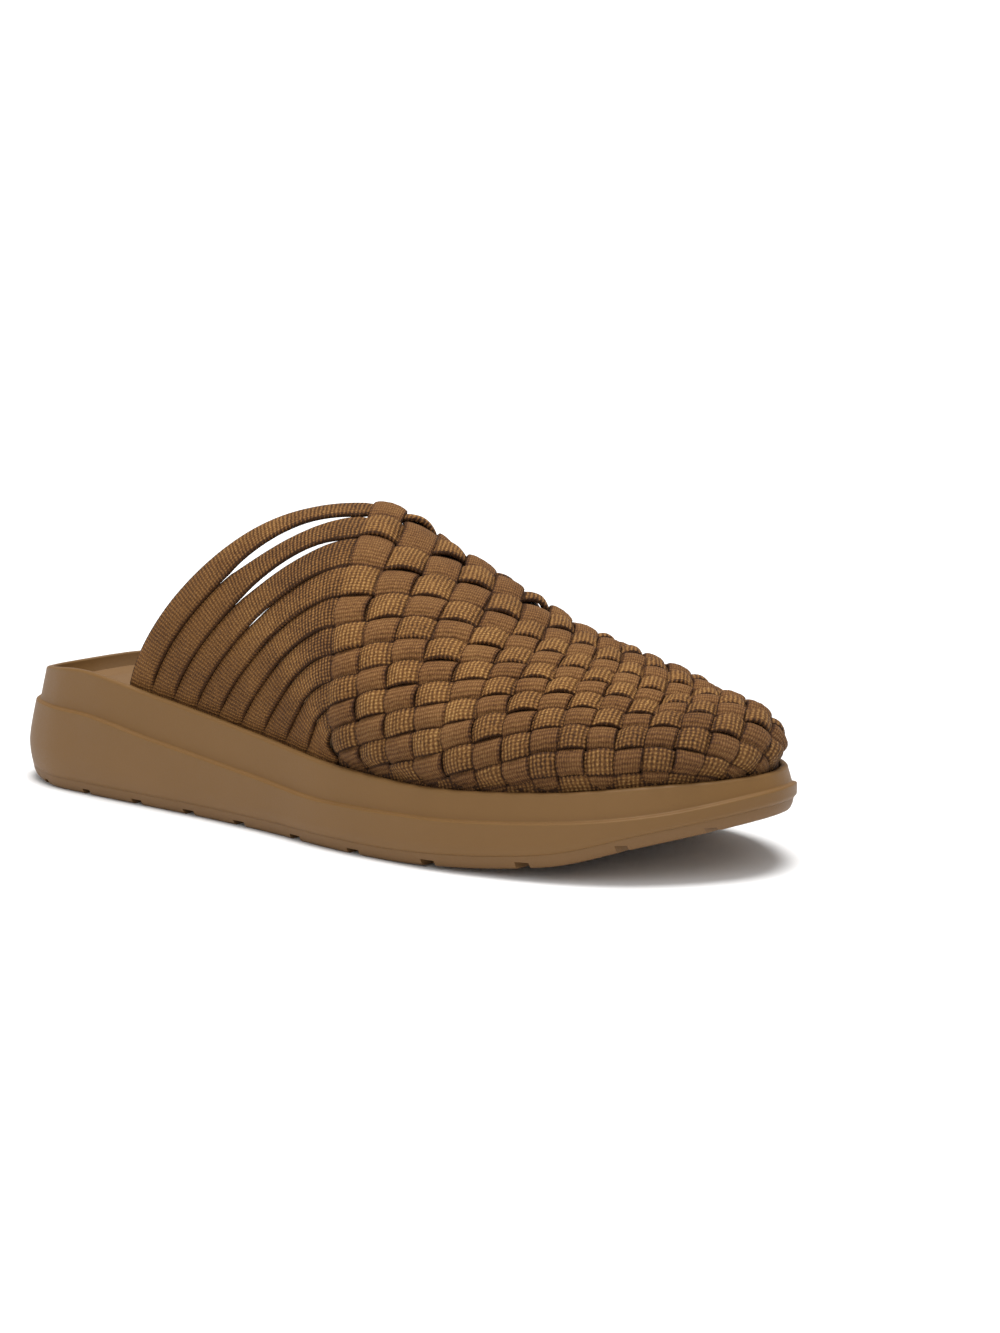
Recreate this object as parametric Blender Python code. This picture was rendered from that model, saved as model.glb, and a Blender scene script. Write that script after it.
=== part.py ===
"""Woven mule, right shoe, standing empty on its sole.

+X is the toe, +Y the inner (medial) side, +Z up.  Metres.
Four pieces: outsole, midsole, footbed and a woven upper.
Tables give shares of the named sizes, read at shares of the length.
"""
import math

import bmesh
import bpy
import numpy as np

# Main sizes
LENGTH = 0.290
BALL_WIDTH = 0.104
HEEL_HEIGHT = 0.043
INSTEP_HEIGHT = 0.0960
GAP = 0.0003

# Sole outline: positions along the length, then each side in ball widths
OUTLINE_X = (0, .014, .041, .086, .155, .26, .36, .465, .55, .64,
             .705, .775, .845, .905, .95, .985, 1)
OUTLINE_LATERAL = (0, -.135, -.22, -.284, -.317, -.346, -.375, -.423, -.476, -.505,
                   -.51, -.486, -.438, -.36, -.25, -.115, .03)
OUTLINE_MEDIAL = (0, .135, .216, .28, .327, .341, .337, .356, .404, .462,
                  .49, .49, .457, .39, .298, .183, .03)
SIDE_POINTS = 42

# Heights along the sole, in heel heights
HEIGHT_X = (0, .06, .14, .275, .415, .55, .69, .83, .93, 1)
RIM_TOP = (.85, .905, .95, .84, .71, .605, .56, .605, .675, .70)
SIDE_STEP = (.62, .63, .63, .52, .415, .345, .357, .41, .49, .60)
SPRING_X = (0, .05, .10, .62, .725, .83, .915, 1)
SPRING = (.07, .02, 0, 0, .03, .10, .255, .40)

# Sole construction
OUTSOLE_THICK = 0.0040
OUTSOLE_INSET = 0.0030
STEP_DEPTH = 0.0016
RIM_OUTER = 0.0027
RIM_INNER = 0.0050
RIM_ROUND = 0.0010
HEEL_LEAN = 0.0036
HEEL_STEP_LEAN = 0.0026
RECESS_DEPTH = 0.0100
FLOOR_LEAST = 0.0018
FOOTBED_DROP = 0.0045
FOOTBED_DISH = 0.0012
FOOTBED_SLOPE = 0.0110
SIDE_ROOM = 0.0010
TOE_ROOM = 0.0012
TOE_ROOM_X = 0.75
GROOVE_DEPTH = 0.0018
GROOVES = ((.085, .0026), (.162, .0036), (.247, .0046), (.332, .0050), (.415, .0052),
           (.510, .0050), (.603, .0050), (.706, .0048), (.813, .0042), (.906, .0028),
           (.9675, .0020))

# Upper surface: ridge heights in instep heights, and where the toe fan starts
RIDGE_X = (.14, .275, .38, .47, .51, .55, .605, .655, .705, .775, .83, .882)
RIDGE_Z = (1.12, 1.08, 1.045, 1.018, .982, .908, .832, .755, .680, .614, .568, .511)
RIDGE_SHIFT = 0.008
FAN_X = .882
ROUNDNESS = (2.15, 2.45)  # how square the cross-section is: medial, lateral
UPPER_INSET = RIM_INNER + 0.0005

# Weave: where each strip crosses the ridge, in lengths
ACROSS_TO_MEDIAL = (.487, .556, .628, .691, .747, .795, .842, .884, .925, .964,
                    1.005, 1.046, 1.085, 1.12, 1.16, 1.20, 1.24)
ACROSS_TO_LATERAL = (.488, .530, .570, .610, .649, .684, .716, .748, .778, .808,
                     .836, .866, .898, .930, .962, .996, 1.03, 1.065, 1.10)
FREE_LATERAL = 9
FREE_MEDIAL = 8
BEND = 0.048
SHALLOW_LATERAL = 1.52
SHALLOW_MEDIAL = 1.0
STEEP = 0.23
FOOT_FIRST = (.217, .236)
FOOT_LAST = (.541, .544)
FOOT_BOW = 0.42
FOOT_RISE = 0.24
FOOT_SLOPE = (.33, .85)
SLITS = (.0034, .0028, .0010, .0008, .0008, .0008, .0008, .0008)
SLIT_END = 0.42
STRAP_STEPS = 8
WALL = 0.0013
RAISE = 0.0011
BAND_DEPTH = 0.0062
STRIP_SHARE = 0.12


def smooth_table(xs, ys):
    """A smooth curve through a table that never overshoots between its points."""
    xs = np.asarray(xs, float)
    ys = np.asarray(ys, float)
    step = np.diff(xs)
    rise = np.diff(ys) / step
    slope = np.concatenate(([rise[0]], np.zeros(len(xs) - 2), [rise[-1]]))
    for k in range(1, len(xs) - 1):
        if rise[k - 1] * rise[k] > 0:
            a = 2 * step[k] + step[k - 1]
            b = step[k] + 2 * step[k - 1]
            slope[k] = (a + b) / (a / rise[k - 1] + b / rise[k])

    def value(x):
        x = np.asarray(x, float)
        k = np.clip(np.searchsorted(xs, x) - 1, 0, len(xs) - 2)
        t = np.clip((x - xs[k]) / step[k], 0, 1)
        low = ys[k] * (1 + 2 * t) * (1 - t) ** 2 + slope[k] * step[k] * t * (1 - t) ** 2
        high = ys[k + 1] * t * t * (3 - 2 * t) + slope[k + 1] * step[k] * t * t * (t - 1)
        before = np.minimum(x - xs[0], 0) * slope[0]
        after = np.maximum(x - xs[-1], 0) * slope[-1]
        return low + high + before + after

    return value


HEIGHT_POS = np.array(HEIGHT_X) * LENGTH
rim_top = smooth_table(HEIGHT_POS, np.array(RIM_TOP) * HEEL_HEIGHT)
side_step = smooth_table(HEIGHT_POS, np.array(SIDE_STEP) * HEEL_HEIGHT)
spring = smooth_table(np.array(SPRING_X) * LENGTH, np.array(SPRING) * HEEL_HEIGHT)
ridge_z = smooth_table(np.array(RIDGE_X) * LENGTH, np.array(RIDGE_Z) * INSTEP_HEIGHT)


def side_curve(table, count):
    """One side of the outline from heel to toe, evenly spaced along its length."""
    xs = np.array(OUTLINE_X) * LENGTH
    ys = np.array(table) * BALL_WIDTH
    along = np.concatenate(([0], np.cumsum(np.hypot(np.diff(xs), np.diff(ys)))))
    ends = 0.5 - 0.5 * np.cos(np.linspace(0, math.pi, count))
    share = 0.6 * np.linspace(0, 1, count) + 0.4 * ends
    at = share * along[-1]
    k = np.clip(np.searchsorted(along, at) - 1, 0, len(xs) - 2)
    h = along[k + 1] - along[k]
    t = (at - along[k]) / h
    out = []
    for v, first, last in ((xs, 0, 0), (ys, np.sign(ys[1]), np.sign(ys[-1] - ys[-2]))):
        m = np.gradient(v, along)
        m[0] = first
        m[-1] = last
        low = v[k] * (1 + 2 * t) * (1 - t) ** 2 + m[k] * h * t * (1 - t) ** 2
        high = v[k + 1] * t * t * (3 - 2 * t) + m[k + 1] * h * t * t * (t - 1)
        out.append(low + high)
    return np.stack(out, 1)


def outline_loop(count):
    """The closed outline: lateral side to the toe, medial side back to the heel."""
    lateral = side_curve(OUTLINE_LATERAL, count)
    medial = side_curve(OUTLINE_MEDIAL, count)
    return np.vstack([lateral, medial[::-1][1:-1]])


def inset_loop(loop, distance):
    """Move a closed loop inward; the distance may differ from point to point."""
    edge = np.roll(loop, -1, 0) - np.roll(loop, 1, 0)
    inward = np.stack([-edge[:, 1], edge[:, 0]], 1)
    inward /= np.linalg.norm(inward, axis=1)[:, None]
    return loop + inward * np.reshape(distance, (-1, 1))


def heel_share(x):
    """One at the back of the heel, fading to none a little way forward."""
    t = np.clip(x / (0.20 * LENGTH), 0, 1)
    return 1 - t * t * (3 - 2 * t)


LOOP = outline_loop(SIDE_POINTS)
FINE_LOOP = outline_loop(400)
CENTRE = np.array([LENGTH / 2, (LOOP[:, 1].min() + LOOP[:, 1].max()) / 2, 0])


def rim_inset(loop, base):
    """Inset of a line on the rim, leaning forward at the back of the heel."""
    return base + HEEL_LEAN * heel_share(loop[:, 0])


UPPER_LOOP = inset_loop(FINE_LOOP, rim_inset(FINE_LOOP, UPPER_INSET))
UPPER_LATERAL = UPPER_LOOP[:400]
UPPER_MEDIAL = np.vstack([UPPER_LOOP[399:], UPPER_LOOP[:1]])[::-1]
FAN = np.array([FAN_X * LENGTH, RIDGE_SHIFT])
TO_LOOP = UPPER_LOOP - FAN
FAN_ANGLE = np.arctan2(TO_LOOP[:, 1], TO_LOOP[:, 0])
FAN_ORDER = np.argsort(FAN_ANGLE)
FAN_REACH = np.linalg.norm(TO_LOOP, axis=1)
ARC = np.linspace(0, math.pi / 2, 33)


def section(x, y):
    """The cross-section under a pattern point: start, foot, distance and its arc."""
    if x <= FAN[0]:
        side = UPPER_LATERAL if y < 0 else UPPER_MEDIAL
        start = np.array([x, RIDGE_SHIFT])
        foot = np.array([x, np.interp(x, side[:, 0], side[:, 1])])
        distance = abs(y)
        angle = math.copysign(math.pi / 2, y)
    else:
        angle = math.atan2(y, x - FAN[0])
        reach = np.interp(angle, FAN_ANGLE[FAN_ORDER], FAN_REACH[FAN_ORDER])
        start = FAN
        foot = FAN + reach * np.array([math.cos(angle), math.sin(angle)])
        distance = math.hypot(y, x - FAN[0])
    width = np.linalg.norm(foot - start)
    top = float(ridge_z(start[0]))
    bottom = float(rim_top(foot[0])) + GAP
    medial = 0.5 + 0.5 * math.sin(angle)
    power = 2 / (ROUNDNESS[0] * medial + ROUNDNESS[1] * (1 - medial))
    out = width * np.sin(ARC) ** power
    up = (top - bottom) * np.cos(ARC) ** power
    along = np.concatenate(([0], np.cumsum(np.hypot(np.diff(out), np.diff(up)))))
    return start, foot, distance, along, out, up, bottom


def height_left(x, y):
    """Length of surface left below a pattern point before the rim is reached."""
    _, _, distance, along, _, _, _ = section(x, y)
    return along[-1] - distance


def surface(x, y):
    """A point of the upper from its place on the unrolled pattern."""
    start, foot, distance, along, out, up, bottom = section(x, y)
    r = np.interp(distance, along, out)
    z = np.interp(distance, along, up) - max(distance - along[-1], 0)
    ground = start + (foot - start) / np.linalg.norm(foot - start) * r
    return np.array([ground[0], ground[1], bottom + z])


def normal(x, y):
    """Outward direction of the upper at a pattern point."""
    d = 0.0008
    side = -1 if y < 0 else 1
    if height_left(x, y) < d:
        y -= side * d
    a = surface(x + d, y) - surface(x - d, y)
    b = surface(x, y + d) - surface(x, y - d)
    n = np.cross(a, b)
    return n / np.linalg.norm(n)


def to_rim(x, y):
    """Slide a pattern point along its section onto the rim."""
    _, _, distance, along, _, _, _ = section(x, y)
    if x <= FAN[0]:
        return x, y / abs(y) * along[-1]
    share = along[-1] / distance
    return FAN[0] + (x - FAN[0]) * share, y * share


def bend(y, steep, shallow):
    """Forward run of a strip from the ridge to y, shallow behind and steep ahead."""
    t = min(max((y + BEND) / (2 * BEND), 0), 1)
    eased = t ** 3 - t ** 4 / 2 - 0.09375
    return shallow * y - (shallow - steep) * (2 * BEND * eased + max(y - BEND, 0))


def at_index(table, index):
    """Ridge crossing of a strip line, for whole and half numbers from one up."""
    place = np.arange(1, len(table) + 1)
    value = np.interp(index, place, table)
    if index < 1:
        value = table[0] - (table[1] - table[0]) * (1 - index)
    if index > len(table):
        value = table[-1] + (table[-1] - table[-2]) * (index - len(table))
    return value * LENGTH


def crossing(i, j):
    """Pattern point where line i of one family meets line j of the other."""
    first = at_index(ACROSS_TO_LATERAL, i)
    second = at_index(ACROSS_TO_MEDIAL, j)
    low, high = -0.16, 0.16
    for _ in range(40):
        y = (low + high) / 2
        one = first + bend(-y, STEEP, SHALLOW_MEDIAL)
        two = second + bend(y, STEEP, SHALLOW_LATERAL)
        if two > one:
            high = y
        else:
            low = y
    return np.array([second + bend(y, STEEP, SHALLOW_LATERAL), y])


class Sheet:
    """Polygons laid out on the unrolled pattern, thickened into one solid."""

    def __init__(self):
        self.keys = {}
        self.spot = []
        self.out = []
        self.faces = []
        self.patches = []

    def vertex(self, key, x, y, drop=0.0):
        if key not in self.keys:
            self.keys[key] = len(self.spot)
            n = normal(x, y)
            p = surface(x, y)
            if abs(height_left(x, y)) < 1e-6:
                n = np.array([n[0], n[1], 0]) / math.hypot(n[0], n[1])
            self.spot.append(p - np.array([0, 0, drop]))
            self.out.append(n)
        return self.keys[key]

    def raised(self, x, y, height):
        return surface(x, y) + normal(x, y) * height


def lattice_corner(corners, i, j):
    """A corner of the weave with the length left below it; near ones snap to the rim."""
    if (i, j) not in corners:
        x, y = crossing(i + 0.5, j + 0.5)
        left = height_left(x, y)
        if abs(left) < 0.0016:
            x, y = to_rim(x, y)
            left = 0.0
        corners[(i, j)] = (x, y, left)
    return corners[(i, j)]


def rim_cut(a, b):
    """The point of a straight pattern line that lies on the rim."""
    inside, outside = (a, b) if a[2] > 0 else (b, a)
    inside = np.array(inside[:2])
    outside = np.array(outside[:2])
    for _ in range(30):
        middle = (inside + outside) / 2
        if height_left(*middle) > 0:
            inside = middle
        else:
            outside = middle
    return to_rim(*inside)


def cell_polygon(sheet, corners, i, j):
    """One square of the weave cut off at the rim: vertex numbers and pattern points."""
    around = [(i - 1, j - 1), (i - 1, j), (i, j), (i, j - 1)]
    info = [lattice_corner(corners, *c) for c in around]
    numbers = []
    points = []
    for k in range(4):
        here, after = info[k], info[(k + 1) % 4]
        if here[2] >= 0:
            numbers.append(sheet.vertex(("c",) + around[k], here[0], here[1]))
            points.append(here[:2])
        if here[2] * after[2] < 0:
            x, y = rim_cut(here, after)
            key = ("e",) + tuple(sorted((around[k], around[(k + 1) % 4])))
            numbers.append(sheet.vertex(key, x, y))
            points.append((x, y))
    return numbers, np.array(points)


def area(points):
    x, y = points[:, 0], points[:, 1]
    return 0.5 * abs(np.dot(x, np.roll(y, -1)) - np.dot(y, np.roll(x, -1)))


def weave_patch(sheet, points, along_i):
    """The raised strip on one whole square: six points, higher in the middle."""
    c00, c01, c11, c10 = points
    grid = []
    for u, lift in ((0.07, 0.45), (0.5, 1.0), (0.93, 0.45)):
        for v in (STRIP_SHARE, 1 - STRIP_SHARE):
            p, q = (u, v) if along_i else (v, u)
            spot = (1 - p) * (1 - q) * c00 + p * (1 - q) * c10 + p * q * c11 + (1 - p) * q * c01
            grid.append(sheet.raised(spot[0], spot[1], RAISE * lift))
    return grid


def add_weave(sheet):
    """All squares of the weave in front of the two free rear edges."""
    corners = {}
    for i in range(1, len(ACROSS_TO_LATERAL) + 1):
        for j in range(1, len(ACROSS_TO_MEDIAL) + 1):
            numbers, points = cell_polygon(sheet, corners, i, j)
            if len(numbers) < 3 or area(points) < 1.5e-6:
                continue
            whole = all(lattice_corner(corners, a, b)[2] >= 0
                        for a, b in ((i - 1, j - 1), (i, j - 1), (i, j), (i - 1, j)))
            sheet.faces.append(numbers)
            along_i = (i + j) % 2 == 1
            if whole and len(numbers) == 4:
                sheet.patches.append(("cell", weave_patch(sheet, points, along_i), along_i))
            else:
                sheet.patches.append(("piece", inner_patch(sheet, points), None))
    return corners


def inner_patch(sheet, points):
    """A raised patch inside a cut square."""
    middle = points.mean(0)
    inner = middle + (points - middle) * 0.72
    return [sheet.raised(p[0], p[1], RAISE * 0.7) for p in inner]


def free_line(side, index, t):
    """A point on the edge line of a free strap, from the weave down to the rim."""
    lateral = side == 0
    start = crossing(0.5, index) if lateral else crossing(index, 0.5)
    sign = -1 if lateral else 1
    count = FREE_LATERAL if lateral else FREE_MEDIAL
    share = (index - 0.5) / count
    foot_x = (FOOT_FIRST[side] * (1 - share) + FOOT_LAST[side] * share) * LENGTH
    foot = np.array(to_rim(foot_x, sign * 0.05))
    shallow = SHALLOW_LATERAL if lateral else SHALLOW_MEDIAL
    d = 0.0005
    far = -sign * start[1]
    run = (bend(far + d, STEEP, shallow) - bend(far, STEEP, shallow)) / d
    back = np.array([-run, sign])
    back /= np.linalg.norm(back)
    slope = FOOT_SLOPE[0] * (1 - share) + FOOT_SLOPE[1] * share
    rise = np.array([slope, -sign]) / math.hypot(slope, 1)
    reach = np.linalg.norm(foot - start)
    bent = start + back * FOOT_BOW * reach
    upright = foot + rise * FOOT_RISE * reach
    curve = (1 - t) ** 3 * start + 3 * t * (1 - t) ** 2 * bent
    return curve + 3 * t * t * (1 - t) * upright + t ** 3 * foot


def strap_edges(side, number, t):
    """Both edges of a free strap at share t, drawn in by the slits beside it."""
    low = free_line(side, number - 0.5, t)
    high = free_line(side, number + 0.5, t)
    across = (high - low) / np.linalg.norm(high - low)
    window = max(math.sin(math.pi * t / SLIT_END), 0) ** 0.7 if t < SLIT_END else 0.0
    least = 0.0003 if 0 < t < 1 else 0.0
    room = np.linalg.norm(high - low)
    before = SLITS[min(number - 2, len(SLITS) - 1)] if number > 1 else 0.0
    after = SLITS[min(number - 1, len(SLITS) - 1)]
    limit = room * 0.22
    low = low + across * max(min(before / 2, limit) * window, least)
    high = high - across * max(min(after / 2, limit) * window, least)
    return low, high


def add_straps(sheet, corners, side):
    """Free straps from the rear edge of the weave down to the rim, on one side."""
    count = FREE_LATERAL if side == 0 else FREE_MEDIAL
    for number in range(1, count + 1):
        rows = []
        for k in range(STRAP_STEPS + 1):
            pair = []
            edges = strap_edges(side, number, k / STRAP_STEPS)
            for e in (0, 1):
                line = number - 1 + e
                if k == 0:
                    c = (0, line) if side == 0 else (line, 0)
                    x, y, _ = lattice_corner(corners, *c)
                    pair.append((sheet.vertex(("c",) + c, x, y), (x, y)))
                elif k == STRAP_STEPS:
                    x, y = edges[e]
                    pair.append((sheet.vertex(("foot", side, line), x, y), (x, y)))
                else:
                    x, y = edges[e]
                    key = ("strap", side, number, e, k)
                    pair.append((sheet.vertex(key, x, y), (x, y)))
            rows.append(pair)
        add_strap(sheet, rows, side)


def add_strap(sheet, rows, side):
    lines = []
    for k, ((a, p), (b, q)) in enumerate(rows):
        p, q = np.array(p), np.array(q)
        if 0 < k < len(rows) - 1:
            left = p + (q - p) * STRIP_SHARE
            right = q + (p - q) * STRIP_SHARE
            lines.append((sheet.raised(*left, RAISE), sheet.raised(*right, RAISE)))
    quads = []
    for k in range(len(rows) - 1):
        a, b = rows[k][0][0], rows[k][1][0]
        d, c = rows[k + 1][0][0], rows[k + 1][1][0]
        quads.append([a, b, c, d] if side == 1 else [d, c, b, a])
    sheet.faces.extend(quads)
    sheet.patches.append(("strap", lines, (rows, side)))
    sheet.patches.extend([("skip", None, None)] * (len(quads) - 1))


def add_band(sheet, corners):
    """The band below the rim that every strip ends in."""
    on_rim = set()
    for key, v in sheet.keys.items():
        if key[0] in ("e", "foot"):
            on_rim.add(v)
        if key[0] == "c" and corners[key[1:]][2] == 0:
            on_rim.add(v)
    edges = []
    for face in sheet.faces:
        for a, b in zip(face, face[1:] + face[:1]):
            if a in on_rim and b in on_rim:
                edges.append((a, b))
    count = ((0, FREE_LATERAL), (1, FREE_MEDIAL))
    edges = [(a, b) for a, b in edges if (b, a) not in edges]
    ends = {a for a, _ in edges}, {b for _, b in edges}
    for side, last in count:
        foot = sheet.keys[("foot", side, last)]
        loose = [v for v in on_rim if v != foot and not (v in ends[0] and v in ends[1])]
        near = min(loose, key=lambda v: np.linalg.norm(sheet.spot[v] - sheet.spot[foot]))
        edges.append((foot, near) if side == 0 else (near, foot))
    down = {}
    for v in sorted(on_rim):
        down[v] = len(sheet.spot)
        sheet.spot.append(sheet.spot[v] - np.array([0, 0, BAND_DEPTH]))
        sheet.out.append(sheet.out[v])
    for a, b in edges:
        sheet.faces.append([b, a, down[a], down[b]])
        sheet.patches.append(("flat", None, None))


def outer_faces(sheet, add_point):
    """The outside of the upper: raised strips over the flat polygons."""
    faces = []
    for face, (kind, data, extra) in zip(sheet.faces, sheet.patches):
        if kind == "flat":
            faces.append(face)
        if kind == "cell":
            faces.extend(cell_faces(face, [add_point(p) for p in data], extra))
        if kind == "piece":
            inner = [add_point(p) for p in data]
            n = len(face)
            for k in range(n):
                faces.append([face[k], face[(k + 1) % n], inner[(k + 1) % n], inner[k]])
            faces.append(inner)
        if kind == "strap":
            faces.extend(strap_faces(data, extra, add_point))
    return faces


def cell_faces(face, top, along_i):
    """Sides, ends and top of the raised strip on one whole square."""
    a, b, c, d = face
    s0, s1, m0, m1, e0, e1 = top
    if along_i:
        return [[b, c, e1, m1, s1], [d, a, s0, m0, e0], [a, b, s1, s0], [c, d, e0, e1],
                [s0, s1, m1, m0], [m0, m1, e1, e0]]
    return [[a, b, e0, m0, s0], [c, d, s1, m1, e1], [d, a, s0, s1], [b, c, e1, e0],
            [s0, m0, m1, s1], [m0, e0, e1, m1]]


def strap_faces(lines, extra, add_point):
    rows, side = extra
    left = [add_point(p) for p, _ in lines]
    right = [add_point(q) for _, q in lines]
    a = [r[0][0] for r in rows]
    b = [r[1][0] for r in rows]
    n = len(rows) - 1
    faces = [[a[0], b[0], right[0], left[0]], [left[-1], right[-1], b[n], a[n]],
             [a[0], left[0], a[1]], [b[0], b[1], right[0]],
             [a[n - 1], left[-1], a[n]], [b[n], right[-1], b[n - 1]]]
    for k in range(1, n - 1):
        faces.append([left[k - 1], right[k - 1], right[k], left[k]])
        faces.append([a[k], left[k - 1], left[k], a[k + 1]])
        faces.append([right[k - 1], b[k], b[k + 1], right[k]])
    if side == 0:
        faces = [f[::-1] for f in faces]
    return faces


def make_upper():
    """One hollow wall: the outside, the inside and a wall along every free edge."""
    sheet = Sheet()
    corners = add_weave(sheet)
    add_straps(sheet, corners, 0)
    add_straps(sheet, corners, 1)
    add_band(sheet, corners)
    points = list(sheet.spot)
    count = len(points)
    inside = [p - n * WALL for p, n in zip(sheet.spot, sheet.out)]
    points += inside

    def add_point(p):
        points.append(p)
        return len(points) - 1

    faces = outer_faces(sheet, add_point)
    used = {}
    for face in sheet.faces:
        faces.append([v + count for v in face[::-1]])
        for a, b in zip(face, face[1:] + face[:1]):
            used[(a, b)] = used.get((a, b), 0) + 1
    for a, b in used:
        if (b, a) not in used:
            faces.append([b, a, a + count, b + count])
    return make_object("upper", points, faces)


def make_object(name, points, faces):
    """A mesh object in the part's frame, from points in the sole's own frame."""
    mesh = bpy.data.meshes.new(name)
    mesh.from_pydata([tuple(np.asarray(p) - CENTRE) for p in points], [], faces)
    keep = bmesh.new()
    keep.from_mesh(mesh)
    loose = [v for v in keep.verts if not v.link_faces]
    bmesh.ops.delete(keep, geom=loose, context="VERTS")
    bmesh.ops.triangulate(keep, faces=keep.faces[:])
    keep.to_mesh(mesh)
    keep.free()
    mesh.update()
    obj = bpy.data.objects.new(name, mesh)
    bpy.context.scene.collection.objects.link(obj)
    return obj


def ring(inset, height):
    """One level of the sole: the outline moved inward at a height per point."""
    loop = inset_loop(LOOP, inset)
    z = height(loop[:, 0]) if callable(height) else height
    return np.column_stack([loop, z])


def stack_rings(name, rings):
    """A closed solid through a list of rings, its two ends closed across."""
    n = len(rings[0])
    points = np.vstack(rings)
    faces = []
    for level in range(len(rings) - 1):
        for k in range(n):
            a, b = level * n + k, level * n + (k + 1) % n
            faces.append([a, b, b + n, a + n])
    last = (len(rings) - 1) * n
    half = n // 2
    for k in range(half):
        lat, lat2 = k, k + 1
        med, med2 = (n - k) % n, n - k - 1
        bottom = [lat, med, med2, lat2]
        top = [lat2 + last, med2 + last, med + last, lat + last]
        faces.append([v for m, v in enumerate(bottom) if v not in bottom[:m]])
        faces.append([v for m, v in enumerate(top) if v not in top[:m]])
    return make_object(name, points, faces)


def make_outsole():
    """The thin bottom layer with its toe spring, cut across by grooves."""
    rings = []
    for up, inset in ((0, 1.0), (0.22, 0.62), (0.6, 0.4), (1, 0.3)):
        height = lambda x, z=up * OUTSOLE_THICK: spring(x) + z
        rings.append(ring(OUTSOLE_INSET * inset, height))
    sole = stack_rings("outsole", rings)
    for share, width in GROOVES:
        cut_groove(sole, share * LENGTH, width)
    return sole


def cut_groove(sole, x, width):
    """Cut one groove across the tread, a little slanted."""
    depth = float(spring(x)) + GROOVE_DEPTH
    slant = 0.006
    half = BALL_WIDTH
    points = []
    for z in (-0.02, depth):
        for side, shift in ((-1, -slant), (1, slant)):
            points.append((x - width / 2 + shift, side * half, z))
            points.append((x + width / 2 + shift, side * half, z))
    faces = [[0, 2, 3, 1], [4, 5, 7, 6], [0, 1, 5, 4], [1, 3, 7, 5], [3, 2, 6, 7], [2, 0, 4, 6]]
    cutter = make_object("groove_cutter", points, faces)
    cutter.hide_render = True
    cutter.display_type = "WIRE"
    cut = sole.modifiers.new("groove", "BOOLEAN")
    cut.operation = "DIFFERENCE"
    cut.solver = "EXACT"
    cut.object = cutter
    bpy.context.view_layer.objects.active = sole
    sole.select_set(True)
    bpy.ops.object.modifier_apply(modifier=cut.name)
    sole.select_set(False)
    bpy.data.objects.remove(cutter, do_unlink=True)


def recess_floor(x):
    """Bottom of the recess, kept well above the underside at the toe."""
    least = spring(x) + OUTSOLE_THICK + GAP + FLOOR_LEAST
    return np.maximum(rim_top(x) - RECESS_DEPTH, least)


def make_midsole():
    """The main body of the sole: a band with a ledge, the rim and the recess on top."""
    heel = heel_share(LOOP[:, 0])
    lean = HEEL_STEP_LEAN * heel
    rim = RIM_OUTER + HEEL_LEAN * heel
    inner = RIM_INNER + HEEL_LEAN * heel
    bottom = lambda x: spring(x) + OUTSOLE_THICK + GAP
    rings = [ring(0.3 * OUTSOLE_INSET, bottom)]
    for up, out, leaned in ((0.12, 0.12, 0), (0.35, 0, 0), (0.65, 0, 0.4),
                            (0.95, 0, 1)):
        inset = OUTSOLE_INSET * out + lean * leaned
        rings.append(ring(inset, lambda x, s=up: bottom(x) * (1 - s) + side_step(x) * s))
    rings += [
        ring(lean + 0.0004, side_step),
        ring(lean + STEP_DEPTH, lambda x: side_step(x) + 0.0002),
        ring((lean + STEP_DEPTH + rim) / 2, lambda x: (side_step(x) + rim_top(x)) / 2),
        ring(rim, lambda x: rim_top(x) - RIM_ROUND),
        ring(rim + 0.3 * RIM_ROUND, lambda x: rim_top(x) - 0.3 * RIM_ROUND),
        ring(rim + RIM_ROUND, rim_top),
        ring(inner - 0.0004, rim_top),
        ring(inner, lambda x: rim_top(x) - 0.0004),
        ring(inner, recess_floor),
    ]
    return stack_rings("midsole", rings)


def upper_room(x):
    """Width the footbed leaves for the upper, none behind its first strap."""
    t = np.clip((x / LENGTH - FOOT_FIRST[0] + 0.085) / 0.07, 0, 1)
    toe = np.clip((x / LENGTH - TOE_ROOM_X) / 0.1, 0, 1)
    return (WALL + SIDE_ROOM) * t * t * (3 - 2 * t) + TOE_ROOM * toe


def make_footbed():
    """The insole in the recess; it makes room for the upper where there is one."""
    x = LOOP[:, 0]
    heel = heel_share(x)
    edge = RIM_INNER + GAP + HEEL_LEAN * heel + upper_room(x)
    low = lambda x: recess_floor(x) + GAP
    top = lambda x: rim_top(x) - FOOTBED_DROP
    rings = [
        ring(edge, low),
        ring(edge, lambda x: top(x) - 0.0008),
        ring(edge + 0.0008, top),
        ring(edge + 0.0040, lambda x: top(x) - 0.3 * FOOTBED_DISH),
        ring(edge + FOOTBED_SLOPE, lambda x: top(x) - FOOTBED_DISH),
    ]
    return stack_rings("footbed", rings)


def material(name, colour, roughness):
    mat = bpy.data.materials.new(name)
    mat.use_nodes = True
    shader = mat.node_tree.nodes["Principled BSDF"]
    shader.inputs["Base Color"].default_value = (*colour, 1)
    shader.inputs["Roughness"].default_value = roughness
    return mat


def shade(obj, mat, smooth_angle):
    """Give a piece its material; soften the shading only on the gentle edges."""
    obj.data.materials.clear()
    obj.data.materials.append(mat)
    for face in obj.data.polygons:
        face.use_smooth = True
    mesh = bmesh.new()
    mesh.from_mesh(obj.data)
    for edge in mesh.edges:
        if len(edge.link_faces) == 2 and edge.calc_face_angle() > smooth_angle:
            edge.smooth = False
    mesh.to_mesh(obj.data)
    mesh.free()


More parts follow.
